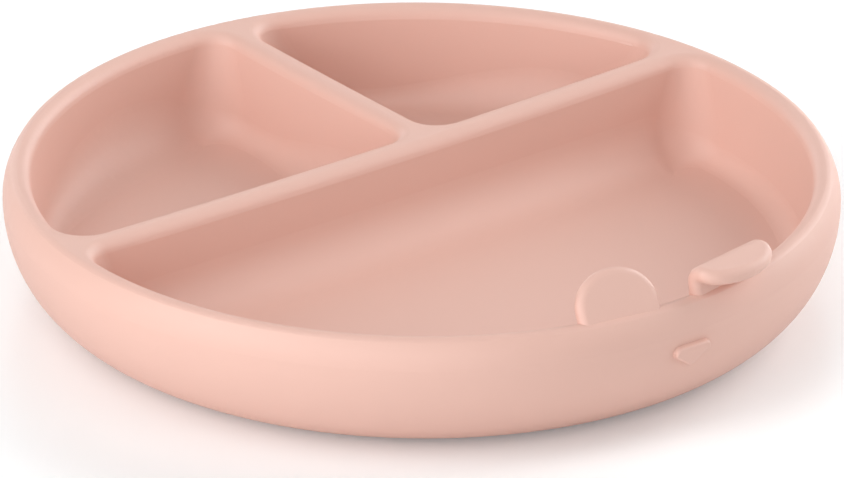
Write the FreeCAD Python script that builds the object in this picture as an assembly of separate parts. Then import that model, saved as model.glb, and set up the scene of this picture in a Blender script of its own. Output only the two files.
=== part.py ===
import FreeCAD, Part
import math
import os

from FreeCAD import Vector

# A divided baby plate, moulded in one piece from silicone rubber.
# Millimetres, +Z up. The origin is the centre of the foot, on the table.
# The long divider runs along X and the short one along +Y. The ears and the
# nose are at the front, on the -Y side.

# Body
plate_diameter = 200.0      # across the widest part of the outer wall
plate_height = 32.6         # table to the top of the rim
shoulder_height = 7.2       # widest part of the outer wall to the top
shoulder_angle = 39.6       # degrees that the wall turns in over that height
rim_corner = 1.8            # radius where the outer wall meets the top
rim_land = 0.15             # what stays flat between that corner and the pockets' edge
top_dish = 1.3              # how far the top falls from the rim to the middle
foot_inset = 21.7           # widest part of the outer wall to the foot's edge, in plan
foot_ring_width = 9.3       # flat ring that the plate stands on
recess_depth = 2.0          # shallow hollow inside that ring, which grips the table

# Pockets
floor_height = 8.3          # table to the pocket floors
wall_draft = 6.6            # degrees that the round wall leans out, upright at its top
divider_draft = 4.0         # degrees that each side of a divider leans
divider_land = 0.3          # what stays flat along the top of a divider
long_divider_offset = 14.8  # middle of the long divider from the X axis
short_divider_offset = 14.2  # middle of the short divider from the Y axis
rim_pocket_corner = 7.0     # plan radius at the top where a divider meets the wall
cross_pocket_corner = 6.0   # plan radius at the top where the dividers meet
low_corner_margin = 0.5     # how much larger those radii are at the floor than its rounds
wall_floor_round = 5.5      # radius where the round wall meets the floor
divider_floor_round = 12.0  # radius where the dividers meet the floor
top_round = 3.1             # radius along every pocket's top edge

# Ears
ear_thickness = 3.85
ear_edge_land = 0.25        # what stays flat between the rounded edges of an ear
ear_setback = 0.7           # front face of the ears from the edge of the rim
ear_root = 2.2              # how deep the ears reach into the rim
upright_place = -10.0       # degrees round from the middle of the front
upright_half_width = 10.7
upright_stem = 1.8          # straight sides of the upright ear, above the rim
upright_crown = 9.1         # its rounded top above those
upright_lean = 31.0         # degrees that it leans in over the pocket
folded_place = 9.4          # degrees round from the middle of the front
folded_half_width = 11.8
folded_stem = 2.4           # straight part of the folded ear, above the rim
folded_crown = 6.9          # its rounded flap, past the fold
folded_lean = 8.0           # degrees that its stem leans in
fold_inner_radius = 0.375
fold_angle = 103.0          # degrees that the flap is folded outward

# Nose
nose_height = 20.0          # table to the middle of the nose
nose_width = 10.2
nose_depth = 5.6            # its top edge to its lower point
nose_corner = 1.5
nose_proud = 0.6            # how far it stands out from the wall
nose_edge_round = 0.4
nose_root = 3.0             # how deep it reaches into the wall

# Derived sizes
plate_radius = plate_diameter / 2
foot_radius = plate_radius - foot_inset
widest_height = plate_height - shoulder_height
shoulder_radius = shoulder_height / math.sin(math.radians(shoulder_angle))
rim_edge_radius = plate_radius - shoulder_radius * (1 - math.cos(math.radians(shoulder_angle)))
rim_corner_reach = rim_corner * math.tan(math.radians(90 - shoulder_angle) / 2)
bowl_radius = rim_edge_radius - rim_corner_reach - rim_land - top_round
divider_width = 2 * top_round + divider_land
pocket_depth = plate_height - floor_height
headroom = floor_height     # how far the pockets' cutting solids stand above the rim
pocket_top = plate_height + headroom
floor_radius = bowl_radius - pocket_depth * math.tan(math.radians(wall_draft))
low_corner = max(wall_floor_round, divider_floor_round) + low_corner_margin
ear_edge_round = (ear_thickness - ear_edge_land) / 2
fold_radius = fold_inner_radius + ear_thickness / 2
seam_place = math.degrees(math.asin(long_divider_offset / bowl_radius))
reach = plate_diameter

X_AXIS = Vector(1, 0, 0)
Z_AXIS = Vector(0, 0, 1)
RIGHT, BACK, LEFT, FRONT = 0, 90, 180, -90
SMALL = 1e-3


def quarter_ellipse(start, corner, end):
    """A quarter of an ellipse that leaves start and reaches end towards corner."""
    curve = Part.BezierCurve()
    curve.setPoles([start, corner, end])
    curve.setWeight(2, math.sqrt(0.5))
    return curve.toShape()


def arc(start, middle, end):
    return Part.Arc(start, middle, end).toShape()


def line(start, end):
    return Part.LineSegment(start, end).toShape()


def turned(edges):
    """The solid that a closed section in the XZ plane makes when turned about Z."""
    return Part.Face(Part.Wire(edges)).revolve(Vector(), Z_AXIS, 360)


def dome_arc(rim, crown):
    """A shallow arc from the rim to its crown on the axis, level at the crown."""
    rise = rim.z - crown.z
    radius = (rim.x ** 2 + rise ** 2) / (2 * rise)
    half_angle = math.asin(rim.x / radius) / 2
    middle = crown + Vector(radius * math.sin(half_angle), 0, radius * (1 - math.cos(half_angle)))
    return arc(rim, middle, crown)


def plate_blank(growth):
    """The plate with no pockets, with its outer wall moved out by growth."""
    turn_radius = shoulder_radius + growth
    turn_centre = Vector(plate_radius - shoulder_radius, 0, widest_height)
    turn_angle = math.asin(shoulder_height / turn_radius)

    def on_turn(angle):
        return turn_centre + Vector(turn_radius * math.cos(angle), 0, turn_radius * math.sin(angle))

    foot = Vector(foot_radius, 0, -growth)
    below_widest = Vector(plate_radius + growth, 0, -growth)
    dish_bottom = Vector(0, 0, plate_height - top_dish)
    underside_middle = Vector(0, 0, -growth)
    return turned([
        line(underside_middle, foot),
        quarter_ellipse(foot, below_widest, on_turn(0)),
        arc(on_turn(0), on_turn(turn_angle / 2), on_turn(turn_angle)),
        dome_arc(on_turn(turn_angle), dish_bottom),
        line(dish_bottom, underside_middle),
    ])


def base_recess():
    """The shallow dome under the plate, inside its flat foot ring."""
    edge = Vector(foot_radius - foot_ring_width, 0, 0)
    crown = Vector(0, 0, recess_depth)
    return turned([dome_arc(edge, crown), line(crown, Vector()), line(Vector(), edge)])


def behind_divider(facing, distance):
    """The space that ends at a divider's leaning side.

    The side's outward direction is facing (degrees), and its top is at distance
    from the axis along it.
    """
    lean = math.tan(math.radians(divider_draft))
    low_end = distance - pocket_depth * lean
    high_end = distance + headroom * lean
    section = Part.makePolygon([
        Vector(-reach, -reach, floor_height),
        Vector(low_end, -reach, floor_height),
        Vector(high_end, -reach, pocket_top),
        Vector(-reach, -reach, pocket_top),
        Vector(-reach, -reach, floor_height),
    ])
    block = Part.Face(section).extrude(Vector(0, 2 * reach, 0))
    block.rotate(Vector(), Z_AXIS, facing)
    return block


def heights(edge):
    return [vertex.Z for vertex in edge.Vertexes]


def bowl():
    """The space inside the round wall, whose section is an arc, upright at the rim."""
    wall_reach = bowl_radius - floor_radius
    bow_radius = (wall_reach ** 2 + pocket_depth ** 2) / (2 * wall_reach)

    def on_wall(z):
        bow = bow_radius - math.sqrt(bow_radius ** 2 - (z - plate_height) ** 2)
        return Vector(bowl_radius - bow, 0, z)

    low = Vector(floor_radius, 0, floor_height)
    high = on_wall(pocket_top)
    low_middle = Vector(0, 0, floor_height)
    high_middle = Vector(0, 0, pocket_top)
    return turned([
        line(low_middle, low),
        arc(low, on_wall(plate_height), high),
        line(high, high_middle),
        line(high_middle, low_middle),
    ])


def floor_round_at(vertex):
    """The floor's round at a vertex: one size on the round wall, another on a divider."""
    on_wall = abs(math.hypot(vertex.X, vertex.Y) - floor_radius) < SMALL
    return wall_floor_round if on_wall else divider_floor_round


def varied_fillet(solid, picked):
    """The solid with its picked edges rounded: (edge number, start radius, end radius)."""
    document = FreeCAD.newDocument()
    base = document.addObject("Part::Feature", "base")
    base.Shape = solid
    rounded = document.addObject("Part::Fillet", "rounded")
    rounded.Base = base
    rounded.Edges = picked
    document.recompute()
    result = rounded.Shape.copy()
    FreeCAD.closeDocument(document.Name)
    return result


def pocket(sides):
    """One pocket as a solid, from the dividers' sides (facing, distance) that bound it."""
    solid = bowl()
    solid.rotate(Vector(), Z_AXIS, sides[0][0])
    for facing, distance in sides:
        solid = solid.common(behind_divider(facing, distance))

    # The corners, with a plan radius that grows from the top down to the floor
    for edge in [e for e in solid.Edges if max(heights(e)) - min(heights(e)) > pocket_depth]:
        between_dividers = isinstance(edge.Curve, Part.Line)
        top_corner = cross_pocket_corner if between_dividers else rim_pocket_corner
        growth_rate = (low_corner - top_corner) / pocket_depth
        high_corner = top_corner - growth_rate * headroom
        starts_low = edge.firstVertex().Z < plate_height
        ends = (low_corner, high_corner) if starts_low else (high_corner, low_corner)
        solid = solid.makeFillet(ends[0], ends[1], [edge])

    # The turn from the walls into the floor, tight on the round wall and soft on a divider
    picked = []
    for number, edge in enumerate(solid.Edges, 1):
        if max(heights(edge)) < floor_height + SMALL:
            picked.append((number, floor_round_at(edge.firstVertex()), floor_round_at(edge.lastVertex())))
    return varied_fillet(solid, picked)


def ear(half_width, stem, crown, lean, turn):
    """An ear as a flat tab with a round top, standing on the rim at +Y.

    Its stem leans in by lean degrees, and past the stem it is folded outward by
    turn degrees.
    """
    half = ear_thickness / 2
    width = Vector(2 * half_width, 0, 0)
    left = Vector(-half_width, -half, -ear_root)
    root = Part.makeBox(width.x, ear_thickness, ear_root + stem, left)
    tip = Vector(0, 0, crown)
    side = Vector(half_width, 0, 0)
    outline = Part.Wire([
        line(-side, side),
        quarter_ellipse(side, side + tip, tip),
        quarter_ellipse(tip, tip - side, -side),
    ])
    flap = Part.Face(outline).extrude(Vector(0, ear_thickness, 0))
    flap.translate(Vector(0, -half, stem))
    pieces = [flap]
    if turn:
        fold_axis = Vector(0, fold_radius, stem)
        flap.rotate(fold_axis, X_AXIS, -turn)
        seam = Part.makePlane(width.x, ear_thickness, Vector(-half_width, -half, stem))
        pieces.append(seam.revolve(fold_axis, X_AXIS, -turn))
    solid = root.multiFuse(pieces).removeSplitter()
    edges = [e for e in solid.Edges if max(heights(e)) > SMALL - ear_root]
    solid = solid.makeFillet(ear_edge_round, edges)

    # Lean it in about its middle line at the rim's height
    lean_centre = rim_edge_radius - ear_setback - half / math.cos(math.radians(lean))
    solid.rotate(Vector(), X_AXIS, lean)
    solid.translate(Vector(0, lean_centre, plate_height))
    return solid


def at_front(solid, offset):
    """What stands at +Y, turned to the front and offset degrees round."""
    return solid.rotated(Vector(), Z_AXIS, 180 + offset)


def nose():
    """The raised nose, a triangle with round corners that follows the wall."""
    half_width = nose_width / 2 - nose_corner
    half_depth = nose_depth / 2 - nose_corner
    top_z = nose_height + half_depth
    low_z = nose_height - half_depth
    back = plate_radius - nose_root
    triangle = Part.makePolygon([
        Vector(-half_width, back, top_z), Vector(half_width, back, top_z),
        Vector(0, back, low_z), Vector(-half_width, back, top_z),
    ])
    outline = triangle.makeOffset2D(nose_corner)
    block = Part.Face(outline).extrude(Vector(0, 2 * nose_root, 0))
    solid = block.common(plate_blank(nose_proud))
    front = max(solid.Faces, key=lambda face: face.CenterOfMass.y)
    return solid.makeFillet(nose_edge_round, front.Edges)


# The body, with its base hollow. Its seam is turned to the end of the long divider, where it
# crosses no pocket's edge on the rim.
plate = plate_blank(0)
rim_edges = [e for e in plate.Edges if min(heights(e)) > plate_height - SMALL]
plate = plate.makeFillet(rim_corner, rim_edges).cut(base_recess())
plate.rotate(Vector(), Z_AXIS, seam_place)

# The pockets: a wide one in front of the long divider and two behind it
half_divider = divider_width / 2
long_side = (FRONT, -long_divider_offset - half_divider)
pockets = [
    [(BACK, long_divider_offset - half_divider)],
    [long_side, (RIGHT, short_divider_offset - half_divider)],
    [long_side, (LEFT, -short_divider_offset - half_divider)],
]
for sides in pockets:
    plate = plate.cut(pocket(sides))
top_edges = [e for e in plate.Edges if min(heights(e)) > plate_height - 1.5 * top_dish
             and max(math.hypot(v.X, v.Y) for v in e.Vertexes) < bowl_radius + SMALL]
plate = plate.makeFillet(top_round, top_edges)

# The face, on the front
upright_ear = ear(upright_half_width, upright_stem, upright_crown, upright_lean, 0)
folded_ear = ear(folded_half_width, folded_stem, folded_crown, folded_lean, fold_angle)
plate = plate.fuse([at_front(nose(), 0), at_front(upright_ear, upright_place),
                    at_front(folded_ear, folded_place)])

os.makedirs("parts", exist_ok=True)
plate.exportStep("parts/plate.step")
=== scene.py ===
import math

import bpy
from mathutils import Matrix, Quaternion, Vector


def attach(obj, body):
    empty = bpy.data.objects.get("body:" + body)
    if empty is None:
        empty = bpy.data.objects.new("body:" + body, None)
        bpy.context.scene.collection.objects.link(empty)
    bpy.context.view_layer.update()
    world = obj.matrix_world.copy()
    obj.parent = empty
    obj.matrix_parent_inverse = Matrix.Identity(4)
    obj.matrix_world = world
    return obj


# A divided baby plate of silicone rubber, on a glossy white table.
# Metres, in the same frame as the part: +Z up, the front on the -Y side.
# Angles are in degrees.

# Silicone
SILICONE_COLOUR = (0.74, 0.465, 0.392, 1)
SILICONE_ROUGHNESS = 0.5

# Nose: a pad with soft edges over the part's own
NOSE_HALF_WIDTH = 0.0036
NOSE_HALF_DEPTH = 0.0013
NOSE_HALF_THICKNESS = 0.001
NOSE_CORNER = 0.0016
NOSE_CORNER_STEPS = 12
NOSE_EDGE = 0.0006
NOSE_EDGE_STEPS = 6
NOSE_PLACE = (0.0002, -0.0992, 0.0201)
NOSE_TILT = 10.5

# Table
TABLE_SIZE = 16.0
TABLE_GAP = 0.00005
TABLE_COLOUR = (0.91, 0.91, 0.91, 1)
TABLE_ROUGHNESS = 0.28
TABLE_GLOW = 0.13
TABLE_GLOW_COLOUR = (0.75, 0.9, 0.95, 1)

# Studio
STUDIO_WHITE = (1.0, 0.99, 0.98, 1)
STUDIO_STRENGTH = 0.02
SOFTBOX_SIZE = 0.9
SOFTBOX_DISTANCE = 1.5

# Softboxes: degrees round from the camera, elevation, power in watts
SOFTBOXES = {
    "front_low": (0, 12, 5.5),
    "left_front_low": (-30, 12, 3.5),
    "left_front": (-30, 35, 2),
    "left_low": (-60, 12, 6.5),
    "left": (-60, 35, 5.5),
    "left_high": (-60, 60, 5),
    "left_back_low": (-150, 12, 5),
    "back": (180, 35, 3),
    "right_back_low": (150, 12, 6),
    "right_low": (120, 12, 6),
    "right": (120, 35, 8),
    "right_side_low": (90, 12, 3),
    "right_front": (60, 35, 3),
    "top": (0, 89, 2),
}

# Camera, at the photograph's viewing angle
CAMERA_AZIMUTH = -39.0
CAMERA_ELEVATION = 24.75
CAMERA_DISTANCE = 2.699
CAMERA_LENS = 480.58
CAMERA_ROLL = 0.437
CAMERA_AIM = Vector((0.00323, 0.00377, 0.01082))
CAMERA_REACH = 100


def away(azimuth, elevation):
    """The direction from the object to a place at that azimuth and elevation."""
    a = math.radians(azimuth)
    e = math.radians(elevation)
    return Vector((math.sin(a) * math.cos(e), -math.cos(a) * math.cos(e), math.sin(e)))


def linked(name, data):
    """A new object in the scene that shows this mesh, curve, light or camera."""
    item = bpy.data.objects.new(name, data)
    bpy.context.scene.collection.objects.link(item)
    return item


def surface(name, colour, roughness):
    """A material of one colour and roughness, and its shader."""
    material = bpy.data.materials.new(name)
    material.use_nodes = True
    shader = material.node_tree.nodes["Principled BSDF"]
    shader.inputs["Base Color"].default_value = colour
    shader.inputs["Roughness"].default_value = roughness
    return material, shader


def silicone():
    material, shader = surface("silicone", SILICONE_COLOUR, SILICONE_ROUGHNESS)
    return material


def nose_outline():
    """A triangle that points down, with an arc round each corner."""
    corners = [
        (NOSE_HALF_WIDTH, NOSE_HALF_DEPTH),
        (-NOSE_HALF_WIDTH, NOSE_HALF_DEPTH),
        (0, -NOSE_HALF_DEPTH),
    ]
    slope = math.degrees(math.atan2(NOSE_HALF_WIDTH, 2 * NOSE_HALF_DEPTH))
    arcs = [(slope - 90, 90), (90, 270 - slope), (270 - slope, 270 + slope)]
    outline = []
    for (x, y), (start, end) in zip(corners, arcs):
        for step in range(NOSE_CORNER_STEPS + 1):
            angle = math.radians(start + (end - start) * step / NOSE_CORNER_STEPS)
            outline.append((x + NOSE_CORNER * math.cos(angle), y + NOSE_CORNER * math.sin(angle)))
    return outline


def nose(material):
    """The raised nose, tilted as the wall is."""
    outline = nose_outline()
    curve = bpy.data.curves.new("nose", "CURVE")
    curve.dimensions = "2D"
    curve.fill_mode = "BOTH"
    curve.extrude = NOSE_HALF_THICKNESS
    curve.bevel_depth = NOSE_EDGE
    curve.bevel_resolution = NOSE_EDGE_STEPS
    curve.offset = -NOSE_EDGE
    spline = curve.splines.new("POLY")
    spline.points.add(len(outline) - 1)
    for point, (x, y) in zip(spline.points, outline):
        point.co = (x, y, 0, 1)
    spline.use_cyclic_u = True
    curve.materials.append(material)
    pad = linked("nose", curve)
    pad.location = NOSE_PLACE
    pad.rotation_euler = (math.radians(90 + NOSE_TILT), 0, 0)
    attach(pad, "root")


def table():
    half = TABLE_SIZE / 2
    low = -TABLE_GAP
    mesh = bpy.data.meshes.new("table")
    corners = [(-half, -half, low), (half, -half, low), (half, half, low), (-half, half, low)]
    mesh.from_pydata(corners, [], [(0, 1, 2, 3)])
    material, shader = surface("table", TABLE_COLOUR, TABLE_ROUGHNESS)

    # The camera sees the table a little whiter than it lights the plate
    nodes = material.node_tree.nodes
    seen = nodes.new("ShaderNodeLightPath")
    strength = nodes.new("ShaderNodeMath")
    strength.operation = "MULTIPLY"
    strength.inputs[1].default_value = TABLE_GLOW
    material.node_tree.links.new(seen.outputs["Is Camera Ray"], strength.inputs[0])
    material.node_tree.links.new(strength.outputs["Value"], shader.inputs["Emission Strength"])
    shader.inputs["Emission Color"].default_value = TABLE_GLOW_COLOUR
    mesh.materials.append(material)
    linked("table", mesh)


def softbox(name, azimuth, elevation, power):
    """A round soft light that faces the middle of the plate."""
    light = bpy.data.lights.new(name, "AREA")
    light.shape = "DISK"
    light.size = SOFTBOX_SIZE
    light.energy = power
    lamp = linked(name, light)
    towards = away(azimuth, elevation)
    lamp.location = towards * SOFTBOX_DISTANCE
    lamp.rotation_euler = towards.to_track_quat("Z", "Y").to_euler()


def studio():
    world = bpy.data.worlds.new("studio")
    world.use_nodes = True
    background = world.node_tree.nodes["Background"]
    background.inputs["Color"].default_value = STUDIO_WHITE
    background.inputs["Strength"].default_value = STUDIO_STRENGTH
    bpy.context.scene.world = world
    for name, (turn, elevation, power) in SOFTBOXES.items():
        softbox(name, CAMERA_AZIMUTH + turn, elevation, power)


def camera():
    data = bpy.data.cameras.new("camera")
    data.lens = CAMERA_LENS
    data.clip_end = CAMERA_REACH
    viewer = linked("camera", data)
    towards = away(CAMERA_AZIMUTH, CAMERA_ELEVATION)
    viewer.location = CAMERA_AIM + towards * CAMERA_DISTANCE
    level = towards.to_track_quat("Z", "Y")
    tilt = Quaternion((0, 0, 1), math.radians(CAMERA_ROLL))
    viewer.rotation_mode = "QUATERNION"
    viewer.rotation_quaternion = level @ tilt
    bpy.context.scene.camera = viewer


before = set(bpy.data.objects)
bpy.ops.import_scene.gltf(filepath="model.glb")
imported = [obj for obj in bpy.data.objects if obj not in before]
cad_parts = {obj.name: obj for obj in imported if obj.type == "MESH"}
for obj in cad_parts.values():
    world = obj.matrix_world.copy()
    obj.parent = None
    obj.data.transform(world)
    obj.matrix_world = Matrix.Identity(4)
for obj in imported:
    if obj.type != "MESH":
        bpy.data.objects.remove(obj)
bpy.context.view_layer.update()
bpy.context.scene.view_settings.view_transform = "Standard"

# The plate keeps the part's own mesh
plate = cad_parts["plate"]
plate.material_slots[0].link = "OBJECT"
plate.material_slots[0].material = silicone()
nose(plate.material_slots[0].material)

table()
studio()
camera()
